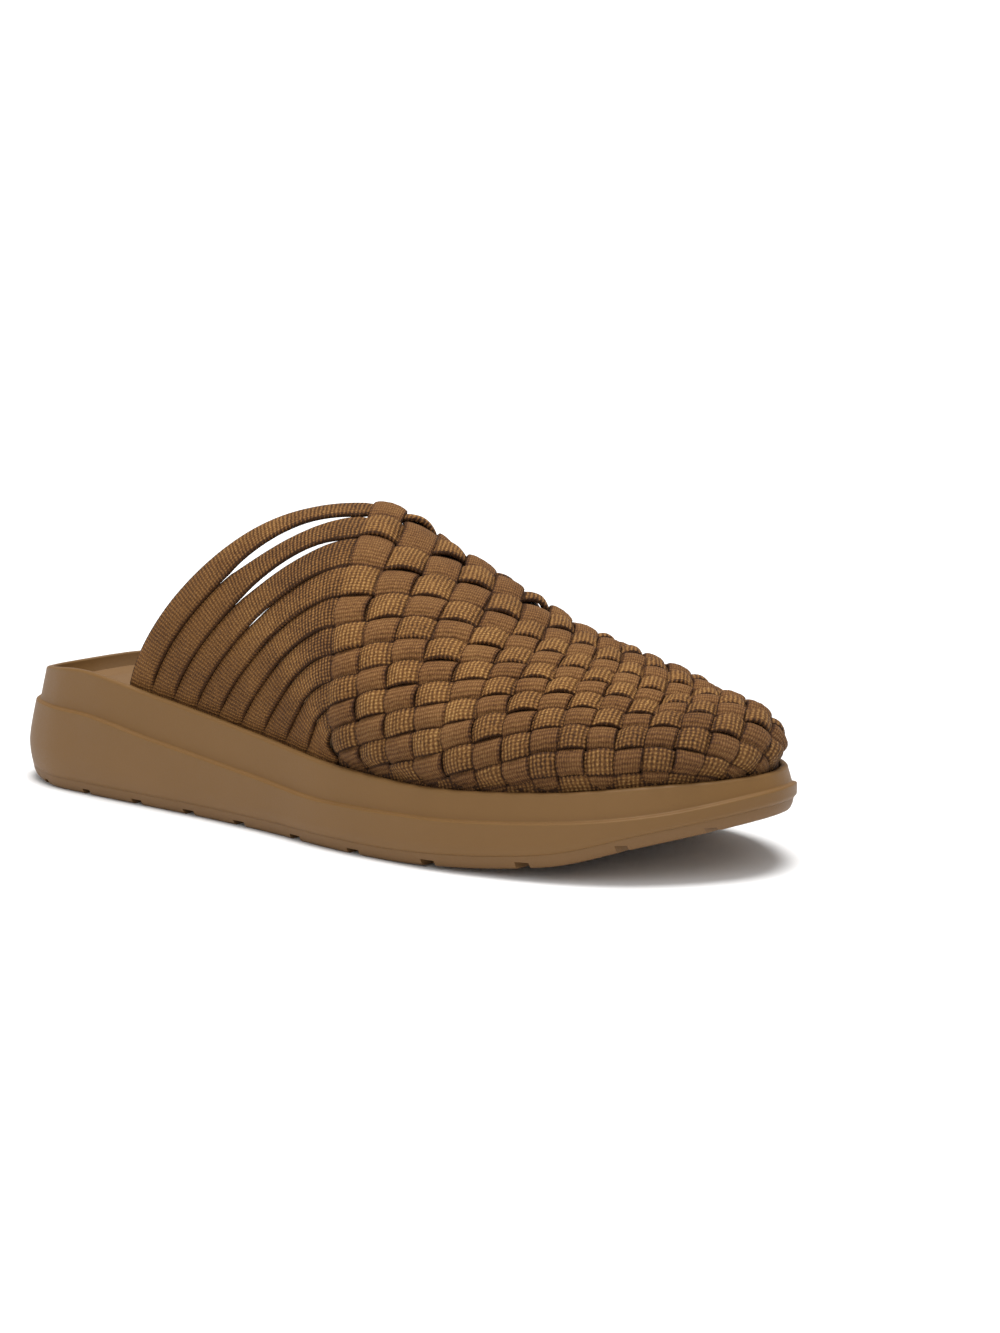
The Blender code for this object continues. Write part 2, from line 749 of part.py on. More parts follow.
def main():
    for obj in list(bpy.data.objects):
        bpy.data.objects.remove(obj, do_unlink=True)
    sole = material("tan_rubber", (0.36, 0.25, 0.15), 0.65)
    foam = material("tan_foam", (0.40, 0.28, 0.17), 0.70)
    insole = material("tan_insole", (0.38, 0.27, 0.17), 0.80)
    webbing = material("tan_webbing", (0.42, 0.29, 0.15), 0.75)
    shade(make_outsole(), sole, 0.6)
    shade(make_midsole(), foam, 0.6)
    shade(make_footbed(), insole, 0.6)
    shade(make_upper(), webbing, 0.5)


main()
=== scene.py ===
"""Looks of the woven mule: webbing strips, sole and floor.

The strips follow the same surface and the same tables as the upper of the part.
Everything is laid out from the back of the heel and then moved to the shared frame.
"""

import math

import bpy
import numpy as np
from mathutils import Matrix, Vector


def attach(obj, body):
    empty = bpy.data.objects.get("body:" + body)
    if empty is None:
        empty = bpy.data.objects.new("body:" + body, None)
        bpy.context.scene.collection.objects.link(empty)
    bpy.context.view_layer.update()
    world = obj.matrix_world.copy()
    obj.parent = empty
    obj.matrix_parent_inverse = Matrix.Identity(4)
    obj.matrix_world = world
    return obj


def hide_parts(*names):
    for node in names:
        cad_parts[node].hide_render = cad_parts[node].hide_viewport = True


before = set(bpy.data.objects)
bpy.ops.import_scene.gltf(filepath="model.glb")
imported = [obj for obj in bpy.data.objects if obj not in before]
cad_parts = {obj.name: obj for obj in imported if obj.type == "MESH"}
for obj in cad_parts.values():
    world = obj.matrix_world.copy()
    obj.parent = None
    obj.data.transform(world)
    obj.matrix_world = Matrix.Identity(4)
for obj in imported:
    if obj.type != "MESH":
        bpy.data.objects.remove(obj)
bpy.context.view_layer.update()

# Main sizes
LENGTH = 0.290
BALL_WIDTH = 0.104
HEEL_HEIGHT = 0.043
INSTEP_HEIGHT = 0.0960
GAP = 0.0003

# Sole outline: positions along the length, then each side in ball widths
OUTLINE_X = (0, .014, .041, .086, .155, .26, .36, .465, .55, .64,
             .705, .775, .845, .905, .95, .985, 1)
OUTLINE_LATERAL = (0, -.135, -.22, -.284, -.317, -.346, -.375, -.423, -.476, -.505,
                   -.51, -.486, -.438, -.36, -.25, -.115, .03)
OUTLINE_MEDIAL = (0, .135, .216, .28, .327, .341, .337, .356, .404, .462,
                  .49, .49, .457, .39, .298, .183, .03)
SIDE_POINTS = 42

# Heights along the sole, in heel heights
HEIGHT_X = (0, .06, .14, .275, .415, .55, .69, .83, .93, 1)
RIM_TOP = (.85, .905, .95, .84, .71, .605, .56, .605, .675, .70)
SIDE_STEP = (.62, .63, .63, .52, .415, .345, .357, .41, .49, .60)
SPRING_X = (0, .05, .10, .62, .725, .83, .915, 1)
SPRING = (.07, .02, 0, 0, .03, .10, .255, .40)

# Sole construction
OUTSOLE_THICK = 0.0040
OUTSOLE_INSET = 0.0030
STEP_DEPTH = 0.0016
RIM_OUTER = 0.0027
RIM_INNER = 0.0050
RIM_ROUND = 0.0010
HEEL_LEAN = 0.0036
HEEL_STEP_LEAN = 0.0026
HEEL_REACH = 0.20  # how far forward the lean goes, in lengths
RECESS_DEPTH = 0.0100
FLOOR_LEAST = 0.0018
FOOTBED_DROP = 0.0045
FOOTBED_DISH = 0.0012
FOOTBED_SLOPE = 0.0110
SIDE_ROOM = 0.0010
TOE_ROOM = 0.0012
TOE_ROOM_X = 0.75
TOE_ROOM_RUN = 0.1
ROOM_BEFORE = 0.085  # how far behind the first strap the side room starts, in lengths
ROOM_RUN = 0.07
GROOVE_DEPTH = 0.0018
GROOVES = ((.085, .0026), (.162, .0036), (.247, .0046), (.332, .0050), (.415, .0052),
           (.510, .0050), (.603, .0050), (.706, .0048), (.813, .0042), (.906, .0028),
           (.9675, .0020))

# Upper surface: ridge heights in instep heights, and where the toe fan starts
RIDGE_X = (.14, .275, .38, .47, .51, .55, .605, .655, .705, .775, .83, .882)
RIDGE_Z = (1.12, 1.08, 1.045, 1.018, .982, .908, .832, .755, .680, .614, .568, .511)
RIDGE_SHIFT = 0.008
FAN_X = .882
ROUNDNESS = (2.15, 2.45)  # how square the cross-section is: medial, lateral
UPPER_INSET = RIM_INNER + 0.0005
LOOP_POINTS = 400
ARC_POINTS = 33

# Weave: where each strip crosses the ridge, in lengths
ACROSS_TO_MEDIAL = (.487, .556, .628, .691, .747, .795, .842, .884, .925, .964,
                    1.005, 1.046, 1.085, 1.12, 1.16, 1.20, 1.24)
ACROSS_TO_LATERAL = (.488, .530, .570, .610, .649, .684, .716, .748, .778, .808,
                     .836, .866, .898, .930, .962, .996, 1.03, 1.065, 1.10)
FREE_LATERAL = 9
FREE_MEDIAL = 8
BEND = 0.048
SHALLOW_LATERAL = 1.52
SHALLOW_MEDIAL = 1.0
STEEP = 0.23
FOOT_FIRST = (.217, .236)
FOOT_LAST = (.541, .544)
FOOT_BOW = 0.42
FOOT_RISE = 0.24
FOOT_SLOPE = (.33, .85)
SLIT_END = 0.42
WALL = 0.0013
PATTERN_REACH = 0.16  # farther from the ridge than any point of the pattern
HALVINGS = 36
TINY = 1e-9  # keeps divisions clear of nought

# Strips of webbing: cross-section, then how far one rises, sinks and swells
STRIP_WIDTH = 0.0110
STRIP_THICK = 0.0017
STRIP_CROWN = 0.00055
STRIP_WAVE = 0.0017
STRIP_SINK = 0.0005
RIM_SINK = 0.0008  # how far below the surface a strip goes down at the rim
RIM_EASE = (0.0003, 0.0050)  # where above the rim its wave begins, and over what length
STRIP_BULGE = 0.0013  # swell of the weave just above the rim
BULGE_PLACES = (0.006, 0.010, 0.022)  # full from the first, to the second, gone over the third
WAVE_SHARPNESS = 0.85
UNEVEN_LIFT = 0.12
UNEVEN_TURNS = (2.3, 1.7)  # along a strip, from strip to strip
TUCK_DEPTH = 0.0045

# Strips of webbing: mesh steps, and the roundness of the cross-section across and up
STEPS_PER_SQUARE = 10
FREE_STEPS = 50
PROFILE_POINTS = 20
PROFILE_ROUND = (0.55, 0.35)

# Strips side by side, in shares of their room, and how far each one wanders
EDGE_SHARE = 0.98
WANDER = 0.04
WANDER_FROM = 0.8
WANDER_TURNS = (1.7, 2.3)  # along a strip, from strip to strip

# Free straps: slits at the top (a minus laps them), laps and tilt further down
SEEN_SLITS = (.0028, .0011, -.0010, -.0010, -.0008, -.0008, -.0008, -.0008)
SLIT_MOST = 0.22  # most of a strap's room that one slit takes
SLIT_ROUND = 0.8
STRAP_LAP = 0.0006
LAP_FROM = 0.34
LAP_RUN = 0.25
LAST_LAP = 0.0040
LAST_LAP_FROM = 0.5
LAST_LAP_RUN = 0.4
STRAP_TILT = 0.0008

# Shares of a free strap over which its wave ends, and its tilt and plainness grow
WAVE_END = 0.14
TILT_EASE = (-0.02, 0.2)
PLAIN_EASE = (0.12, 0.5)

# Fine sole outline and its rounded edges
FINE_POINTS = 150
LEDGE_ROUND = 0.0005
LEDGE_FOOT = 0.0005
LEDGE_LIFT = 0.0001
RIM_INNER_ROUND = 0.0006
FOOTBED_ROUND = 0.0010
DISH_RUN = FOOTBED_SLOPE - FOOTBED_ROUND
SKIN_GAP = 0.00003
BAND_TURN = 0.35  # share of the lower band where it stops widening and starts to lean in
BAND_CURVE = 1.3
OUTSOLE_TOP = 0.3 * OUTSOLE_INSET  # inset where outsole and midsole meet
OUTSOLE_RINGS = ((0, 1.0), (0.08, 0.78), (0.22, 0.62), (0.6, 0.4), (1, 0.3))  # height, inset
GROOVE_SLANT = 0.006
GROOVE_BELOW = 0.02
SHARP_ANGLE = math.radians(38)

# Webbing colours from the deepest thread to the lightest
DULL = ((0.048, 0.017, 0.003), (0.118, 0.048, 0.010), (0.200, 0.088, 0.022))
GOLD = ((0.036, 0.013, 0.003), (0.146, 0.061, 0.015), (0.268, 0.129, 0.037),
        (0.445, 0.250, 0.082))
EVEN = ((0.042, 0.015, 0.004), (0.134, 0.055, 0.016), (0.210, 0.097, 0.029),
        (0.290, 0.150, 0.054))
SHADE = (0.020, 0.008, 0.002, 1.0)  # the weave in the shade of the rim
SHADE_RISE = 0.034  # how far up that shade reaches
SHADE_MOST = 0.36

# Webbing: spacing of ribs and threads in cm, and how deep the ribs look
RIBBED = (0.130, 0.105, 0.80)
FINE = (0.125, 0.070, 0.60)
RIB_WOBBLE = 5.0
THREAD_DEPTH = 0.55
FREE_DULLNESS = 0.8

# Brightness of the webbing: a share for the dots, then a share and an offset each
DOTS_SHARE = 0.85
PATCHES = (0.60, -0.22)
FUZZ = (0.90, -0.45)
DIP_BELOW = 0.45  # strips lower than this are under others
DIP_SHADE = 0.42
EDGE_SHADE_FROM = 0.80  # share of the half width where the painted shade along a strip's edges starts
EDGE_SHADE_DEPTH = 2.6

# Scales of the noise, from clouds down to fibres
CLOUD_SCALE = 28.0
PATCH_SCALE = 60.0
WOBBLE_SCALE = 420.0
FIBRE_SCALE = 1500.0

# Foam: dark and light colour, roughness, grain
SIDE_FOAM = ((0.144, 0.072, 0.0195, 1), (0.176, 0.089, 0.0255, 1), 0.55, 0.35)
BED_FOAM = ((0.155, 0.082, 0.030, 1), (0.200, 0.110, 0.044, 1), 0.75, 0.6)
TREAD_FOAM = ((0.142, 0.073, 0.025, 1), (0.165, 0.086, 0.030, 1), 0.6, 0.5)
CLOUD_SHARE = 0.7
ROUGH_SPREAD = 0.2

# Floor, and the sky: strength at the horizon and higher up, and where it fades
FLOOR_SIZE = 60.0
FLOOR_WHITE = (0.88, 0.88, 0.88, 1)
SKY_LOW = 1.08
SKY_HIGH = 0.36
SKY_FADE = (0.05, 0.16)

# Suns: name, direction, spread in degrees, strength
SUNS = (("overhead", (0.05, 0.02, 1.0), 30, 3.2), ("front", (0.3, -1.0, 1.0), 70, 1.0))

# Camera, fitted to the photograph
CAMERA_AZIMUTH = math.radians(36.15)
CAMERA_ELEVATION = math.radians(9.31)
CAMERA_DISTANCE = 1.0
CAMERA_AIM = (0.1741, 0.0227, 0.0480)
FOCAL_PIXELS = 3163
IMAGE_HEIGHT = 1333
SENSOR = 36.0


def smooth_table(xs, ys):
    """A smooth curve through a table that never overshoots between its points."""
    xs = np.asarray(xs, float)
    ys = np.asarray(ys, float)
    step = np.diff(xs)
    rise = np.diff(ys) / step
    slope = np.concatenate(([rise[0]], np.zeros(len(xs) - 2), [rise[-1]]))
    for k in range(1, len(xs) - 1):
        if rise[k - 1] * rise[k] > 0:
            a = 2 * step[k] + step[k - 1]
            b = step[k] + 2 * step[k - 1]
            slope[k] = (a + b) / (a / rise[k - 1] + b / rise[k])

    def value(x):
        x = np.asarray(x, float)
        k = np.clip(np.searchsorted(xs, x) - 1, 0, len(xs) - 2)
        t = np.clip((x - xs[k]) / step[k], 0, 1)
        low = ys[k] * (1 + 2 * t) * (1 - t) ** 2 + slope[k] * step[k] * t * (1 - t) ** 2
        high = ys[k + 1] * t * t * (3 - 2 * t) + slope[k + 1] * step[k] * t * t * (t - 1)
        before = np.minimum(x - xs[0], 0) * slope[0]
        after = np.maximum(x - xs[-1], 0) * slope[-1]
        return low + high + before + after

    return value


HEIGHT_POS = np.array(HEIGHT_X) * LENGTH
rim_top = smooth_table(HEIGHT_POS, np.array(RIM_TOP) * HEEL_HEIGHT)
side_step = smooth_table(HEIGHT_POS, np.array(SIDE_STEP) * HEEL_HEIGHT)
spring = smooth_table(np.array(SPRING_X) * LENGTH, np.array(SPRING) * HEEL_HEIGHT)
ridge_z = smooth_table(np.array(RIDGE_X) * LENGTH, np.array(RIDGE_Z) * INSTEP_HEIGHT)


def side_curve(table, count):
    """One side of the outline from heel to toe, evenly spaced along its length."""
    xs = np.array(OUTLINE_X) * LENGTH
    ys = np.array(table) * BALL_WIDTH
    along = np.concatenate(([0], np.cumsum(np.hypot(np.diff(xs), np.diff(ys)))))
    ends = 0.5 - 0.5 * np.cos(np.linspace(0, math.pi, count))
    share = 0.6 * np.linspace(0, 1, count) + 0.4 * ends
    at = share * along[-1]
    k = np.clip(np.searchsorted(along, at) - 1, 0, len(xs) - 2)
    h = along[k + 1] - along[k]
    t = (at - along[k]) / h
    out = []
    for v, first, last in ((xs, 0, 0), (ys, np.sign(ys[1]), np.sign(ys[-1] - ys[-2]))):
        m = np.gradient(v, along)
        m[0] = first
        m[-1] = last
        low = v[k] * (1 + 2 * t) * (1 - t) ** 2 + m[k] * h * t * (1 - t) ** 2
        high = v[k + 1] * t * t * (3 - 2 * t) + m[k + 1] * h * t * t * (t - 1)
        out.append(low + high)
    return np.stack(out, 1)


def outline_loop(count):
    """The closed outline: lateral side to the toe, medial side back to the heel."""
    lateral = side_curve(OUTLINE_LATERAL, count)
    medial = side_curve(OUTLINE_MEDIAL, count)
    return np.vstack([lateral, medial[::-1][1:-1]])


def inset_loop(loop, distance):
    """Move a closed loop inward; the distance may differ from point to point."""
    edge = np.roll(loop, -1, 0) - np.roll(loop, 1, 0)
    inward = np.stack([-edge[:, 1], edge[:, 0]], 1)
    inward /= np.linalg.norm(inward, axis=1)[:, None]
    return loop + inward * np.reshape(distance, (-1, 1))


def smooth_step(t):
    """Nought to one with soft ends."""
    t = np.clip(t, 0, 1)
    return t * t * (3 - 2 * t)


def heel_share(x):
    """One at the back of the heel, fading to none a little way forward."""
    return 1 - smooth_step(x / (HEEL_REACH * LENGTH))


LOOP = outline_loop(SIDE_POINTS)
FINE_LOOP = outline_loop(LOOP_POINTS)
CENTRE = np.array([LENGTH / 2, (LOOP[:, 1].min() + LOOP[:, 1].max()) / 2, 0])


def rim_inset(loop, base):
    """Inset of a line on the rim, leaning forward at the back of the heel."""
    return base + HEEL_LEAN * heel_share(loop[:, 0])


UPPER_LOOP = inset_loop(FINE_LOOP, rim_inset(FINE_LOOP, UPPER_INSET))
UPPER_LATERAL = UPPER_LOOP[:LOOP_POINTS]
UPPER_MEDIAL = np.vstack([UPPER_LOOP[LOOP_POINTS - 1:], UPPER_LOOP[:1]])[::-1]
FAN = np.array([FAN_X * LENGTH, RIDGE_SHIFT])
TO_LOOP = UPPER_LOOP - FAN
FAN_ANGLE = np.arctan2(TO_LOOP[:, 1], TO_LOOP[:, 0])
FAN_ORDER = np.argsort(FAN_ANGLE)
FAN_REACH = np.linalg.norm(TO_LOOP, axis=1)
ARC = np.linspace(0, math.pi / 2, ARC_POINTS)


def sections(p):
    """The cross-section under each pattern point: direction, distance and arc."""
    x, y = p[:, 0], p[:, 1]
    rear = x <= FAN[0]
    turn = np.arctan2(y, x - FAN[0])
    reach = np.interp(turn, FAN_ANGLE[FAN_ORDER], FAN_REACH[FAN_ORDER])
    lateral = np.interp(x, UPPER_LATERAL[:, 0], UPPER_LATERAL[:, 1])
    medial = np.interp(x, UPPER_MEDIAL[:, 0], UPPER_MEDIAL[:, 1])
    start = np.minimum(x, FAN[0])
    foot_x = np.where(rear, x, FAN[0] + reach * np.cos(turn))
    foot_y = np.where(y < 0, lateral, medial)
    foot_y = np.where(rear, foot_y, RIDGE_SHIFT + reach * np.sin(turn))
    distance = np.where(rear, np.abs(y), np.hypot(y, x - FAN[0]))
    inner = 0.5 + 0.5 * np.where(rear, np.sign(y), np.sin(turn))
    run = np.column_stack([foot_x - start, foot_y - RIDGE_SHIFT])
    width = np.linalg.norm(run, axis=1)
    bottom = rim_top(foot_x) + GAP
    power = 2 / (ROUNDNESS[0] * inner + ROUNDNESS[1] * (1 - inner))
    out = width[:, None] * np.sin(ARC) ** power[:, None]
    up = (ridge_z(start) - bottom)[:, None] * np.cos(ARC) ** power[:, None]
    along = np.cumsum(np.hypot(np.diff(out, axis=1), np.diff(up, axis=1)), axis=1)
    along = np.column_stack([np.zeros(len(p)), along])
    return start, run / width[:, None], distance, along, out, up, bottom


def lay(p):
    """Surface points for pattern points, and the length of surface left below them."""
    start, way, distance, along, out, up, bottom = sections(p)
    k = np.clip((along <= distance[:, None]).sum(1) - 1, 0, len(ARC) - 2)
    rows = np.arange(len(p))
    t = (distance - along[rows, k]) / (along[rows, k + 1] - along[rows, k])
    t = np.clip(t, 0, 1)
    r = out[rows, k] * (1 - t) + out[rows, k + 1] * t
    z = up[rows, k] * (1 - t) + up[rows, k + 1] * t
    left = along[:, -1] - distance
    z = bottom + z + np.minimum(left, 0)
    return np.column_stack([start + way[:, 0] * r, RIDGE_SHIFT + way[:, 1] * r, z]), left


def outward(p):
    """Outward direction of the upper at each pattern point."""
    d = 0.0012
    left = lay(p)[1]
    side = np.where(p[:, 1] < 0, -1, 1)
    q = np.column_stack([p[:, 0], p[:, 1] - np.where(left < d, side * d, 0)])
    east, north = np.array([d, 0]), np.array([0, d])
    n = np.cross(lay(q + east)[0] - lay(q - east)[0], lay(q + north)[0] - lay(q - north)[0])
    return n / np.linalg.norm(n, axis=1)[:, None]


def keep_in(p):
    """Move pattern points up their sections until none is below the tuck."""
    over = np.maximum(-TUCK_DEPTH - lay(p)[1], 0)
    rear = p[:, 0] <= FAN[0]
    x = p[:, 0] - FAN[0]
    far = np.maximum(np.hypot(x, p[:, 1]), TINY)
    scale = np.where(rear, 1, 1 - over / far)
    y = np.where(rear, p[:, 1] - np.sign(p[:, 1]) * over, p[:, 1] * scale)
    return np.column_stack([FAN[0] + x * scale, y])


def bend(y, steep, shallow):
    """Forward run of a strip from the ridge to y, shallow behind and steep ahead."""
    t = np.clip((y + BEND) / (2 * BEND), 0, 1)
    eased = t ** 3 - t ** 4 / 2 - 3 / 32  # nought at the ridge
    return shallow * y - (shallow - steep) * (2 * BEND * eased + np.maximum(y - BEND, 0))


def at_index(table, index):
    """Ridge crossings of strip lines, carried on past both ends of the table."""
    more = [table[-1] + (table[-1] - table[-2]) * k for k in range(1, 9)]
    places = [2 * table[0] - table[1], *table, *more]
    return np.interp(index, np.arange(len(places)), places) * LENGTH


def meet(i, j):
    """Pattern points where lines i of one family meet lines j of the other."""
    i, j = np.broadcast_arrays(np.atleast_1d(i), np.atleast_1d(j))
    first = at_index(ACROSS_TO_LATERAL, i)
    second = at_index(ACROSS_TO_MEDIAL, j)
    high = np.full(len(first), PATTERN_REACH)
    low = -high
    for _ in range(HALVINGS):
        y = (low + high) / 2
        past = second + bend(y, STEEP, SHALLOW_LATERAL) > first + bend(-y, STEEP, SHALLOW_MEDIAL)
        high = np.where(past, y, high)
        low = np.where(past, low, y)
    return np.column_stack([second + bend(y, STEEP, SHALLOW_LATERAL), y])


def free_line(side, index, t):
    """Points on the edge line of a free strap, from the weave down to the rim."""
    lateral = side == 0
    start = (meet(0.5, index) if lateral else meet(index, 0.5))[0]
    sign = -1 if lateral else 1
    share = (index - 0.5) / (FREE_LATERAL if lateral else FREE_MEDIAL)
    foot_x = (FOOT_FIRST[side] * (1 - share) + FOOT_LAST[side] * share) * LENGTH
    on = 0.05  # any place on the section will do
    foot = np.array([foot_x, sign * (on + lay(np.array([[foot_x, sign * on]]))[1][0])])
    shallow = SHALLOW_LATERAL if lateral else SHALLOW_MEDIAL
    d = 0.0005
    far = -sign * start[1]
    run = (bend(far + d, STEEP, shallow) - bend(far, STEEP, shallow)) / d
    back = np.array([-run, sign]) / math.hypot(run, 1)
    slope = FOOT_SLOPE[0] * (1 - share) + FOOT_SLOPE[1] * share
    rise = np.array([slope, -sign]) / math.hypot(slope, 1)
    reach = np.linalg.norm(foot - start)
    bent = start + back * FOOT_BOW * reach
    upright = foot + rise * FOOT_RISE * reach
    t = np.reshape(t, (-1, 1))
    curve = (1 - t) ** 3 * start + 3 * t * (1 - t) ** 2 * bent
    return curve + 3 * t * t * (1 - t) * upright + t ** 3 * foot


def strap_edges(side, number, t):
    """Both edges of a free strap at shares t, drawn in by the slits beside it."""
    low = free_line(side, number - 0.5, t)
    high = free_line(side, number + 0.5, t)
    room = np.linalg.norm(high - low, axis=1)
    across = (high - low) / room[:, None]
    window = np.sin(math.pi * np.clip(t / SLIT_END, 0, 1)).clip(0) ** SLIT_ROUND
    before = SEEN_SLITS[min(number - 2, len(SEEN_SLITS) - 1)] if number > 1 else 0.0
    after = SEEN_SLITS[min(number - 1, len(SEEN_SLITS) - 1)]
    lap = STRAP_LAP * smooth_step((t - LAP_FROM) / LAP_RUN)
    draw_low = np.minimum(before / 2, room * SLIT_MOST) * window - (lap if number > 1 else 0)
    if number == (FREE_LATERAL if side == 0 else FREE_MEDIAL):
        lap = lap + LAST_LAP * smooth_step((t - LAST_LAP_FROM) / LAST_LAP_RUN)
    draw_high = np.minimum(after / 2, room * SLIT_MOST) * window - lap
    return low + across * draw_low[:, None], high - across * draw_high[:, None]


def weave_edges(to_medial, number, along):
    """Both edges of a strip at places along it in the weave."""
    if to_medial:
        low, high = meet(along, number - 0.5), meet(along, number + 0.5)
        ahead = meet(along + 0.05, number) - meet(along - 0.05, number)
    else:
        low, high = meet(number - 0.5, along), meet(number + 0.5, along)
        ahead = meet(number, along + 0.05) - meet(number, along - 0.05)
    ahead /= np.maximum(np.linalg.norm(ahead, axis=1), TINY)[:, None]
    span = high - low
    width = np.abs(span[:, 0] * ahead[:, 1] - span[:, 1] * ahead[:, 0])
    share = np.minimum(EDGE_SHARE, STRIP_WIDTH / np.maximum(width, TINY))[:, None]
    turn = WANDER_TURNS[0] * along + WANDER_TURNS[1] * number
    drift = WANDER * np.sin(turn) * smooth_step(along - WANDER_FROM)
    middle = (low + high) / 2 + span * drift[:, None]
    return middle - span / 2 * share, middle + span / 2 * share


def wave(phase):
    """Height share of a strip: up at even phases, down at odd ones."""
    c = np.cos(math.pi * phase)
    return np.sign(c) * np.abs(c) ** WAVE_SHARPNESS


def strip_stations(to_medial, number):
    """Edges, wave height, tilt and free share along one strip, rear foot first."""
    side = 0 if to_medial else 1
    free = FREE_LATERAL if to_medial else FREE_MEDIAL
    limit = len(ACROSS_TO_LATERAL if to_medial else ACROSS_TO_MEDIAL) + 6
    along = np.arange(0.5, limit, 1 / STEPS_PER_SQUARE)
    low, high = weave_edges(to_medial, number, along)
    deep = np.maximum(lay(low)[1], lay(high)[1]) > -TUCK_DEPTH
    first = 0 if number <= free else int(np.argmax(deep))
    gone = np.nonzero(~deep[first:])[0]
    last = first + (int(gone[0]) if len(gone) else len(along) - first)
    lift = wave(along + number + (1 if to_medial else 0))
    lift += UNEVEN_LIFT * np.sin(along * UNEVEN_TURNS[0] + number * UNEVEN_TURNS[1])
    rows = [low[first:last], high[first:last], lift[first:last],
            np.zeros(last - first), np.zeros(last - first)]
    if number > free:
        return rows
    t = np.linspace(1, 0, FREE_STEPS, endpoint=False)
    low, high = strap_edges(side, number, t)
    down = np.array([0, -TUCK_DEPTH if side == 0 else TUCK_DEPTH])
    low = np.vstack([low[:1] + down, low])
    high = np.vstack([high[:1] + down, high])
    t = np.concatenate([[1], t])
    ends = smooth_step(1 - t / WAVE_END) * rows[2][0]
    tilt = STRAP_TILT * smooth_step((t - TILT_EASE[0]) / TILT_EASE[1])
    plain = smooth_step((t - PLAIN_EASE[0]) / PLAIN_EASE[1])
    extra = [low, high, ends, tilt, plain]
    return [np.concatenate([a, b]) for a, b in zip(extra, rows)]


def profile(steps):
    """Rounded cross-section of a strip: share across and share of its thickness."""
    turn = np.linspace(0, 2 * math.pi, steps, endpoint=False)
    across = np.sign(np.cos(turn)) * np.abs(np.cos(turn)) ** PROFILE_ROUND[0]
    deep = np.sign(np.sin(turn)) * np.abs(np.sin(turn)) ** PROFILE_ROUND[1]
    return -across, deep / 2


def strip_surface(rows):
    """Points round each station, their share across, and the surface left below them."""
    low, high, lift, tilt = rows[:4]
    across, deep = profile(PROFILE_POINTS)
    n = len(across)
    flat = ((low + high) / 2)[:, None] + (high - low)[:, None] / 2 * across[None, :, None]
    flat = keep_in(flat.reshape(-1, 2))
    spot, left = lay(flat)
    over = np.tile(across, len(lift))
    tilt = np.repeat(tilt, n)
    ease = smooth_step((left - RIM_EASE[0]) / RIM_EASE[1])
    height = np.repeat(lift, n) * STRIP_WAVE * ease - RIM_SINK * (1 - ease)
    height += np.tile(deep, len(lift)) * STRIP_THICK + STRIP_CROWN * (1 - over * over)
    height += tilt * over * ease - STRIP_SINK
    full, top, run = BULGE_PLACES
    bulge = smooth_step(left / full) * (1 - smooth_step((left - top) / run))
    height += STRIP_BULGE * bulge * (tilt == 0)
    return spot + outward(flat) * height[:, None], over, left


def tube_faces(stations, n):
    """Faces round a strip of so many stations, and one across each end."""
    faces = []
    for k in range(stations - 1):
        for m in range(n):
            a = k * n + m
            b = k * n + (m + 1) % n
            faces.append([a, b, b + n, a + n])
    last = (stations - 1) * n
    faces.append(list(range(n))[::-1])
    faces.append([last + m for m in range(n)])
    return faces


def strip_mesh(name, rows):
    """A solid strip over its stations, with its length and width in cm as UVs."""
    low, high, lift, _, free = rows
    points, over, left = strip_surface(rows)
    n = PROFILE_POINTS
    obj = make_object(name, points, tube_faces(len(lift), n))
    line = lay(keep_in((low + high) / 2))[0]
    length = np.concatenate([[0], np.cumsum(np.linalg.norm(np.diff(line, axis=0), axis=1))])
    width = np.linalg.norm(lay(keep_in(high))[0] - lay(keep_in(low))[0], axis=1)
    add_uv(obj, "along_across", np.repeat(length * 100, n), over * np.repeat(width * 50, n))
    add_uv(obj, "free_lift", np.repeat(free, n), np.repeat(lift, n))
    add_uv(obj, "edge_rise", np.abs(over), smooth_step(left / SHADE_RISE))
    return obj


def add_uv(obj, name, first, second):
    """A UV layer from two values for each point of the mesh."""
    index = np.empty(len(obj.data.loops), int)
    obj.data.loops.foreach_get("vertex_index", index)
    layer = obj.data.uv_layers.new(name=name)
    layer.data.foreach_set("uv", np.ravel(np.column_stack([first, second])[index]))


def make_object(name, points, faces):
    """A smooth mesh object in the shared frame."""
    mesh = bpy.data.meshes.new(name)
    mesh.from_pydata((np.asarray(points) - CENTRE).tolist(), [], faces)
    mesh.polygons.foreach_set("use_smooth", [True] * len(faces))
    mesh.update()
    obj = bpy.data.objects.new(name, mesh)
    bpy.context.scene.collection.objects.link(obj)
    return obj


def add_strips():
    """Both families of strips, each with the side that it goes down to."""
    made = []
    for to_medial, table, word in ((True, ACROSS_TO_MEDIAL, "to_medial"),
                                   (False, ACROSS_TO_LATERAL, "to_lateral")):
        for number in range(1, len(table) + 1):
            rows = strip_stations(to_medial, number)
            if len(rows[0]) > 4:
                made.append((strip_mesh("strip_%s_%02d" % (word, number), rows), to_medial))
    return made


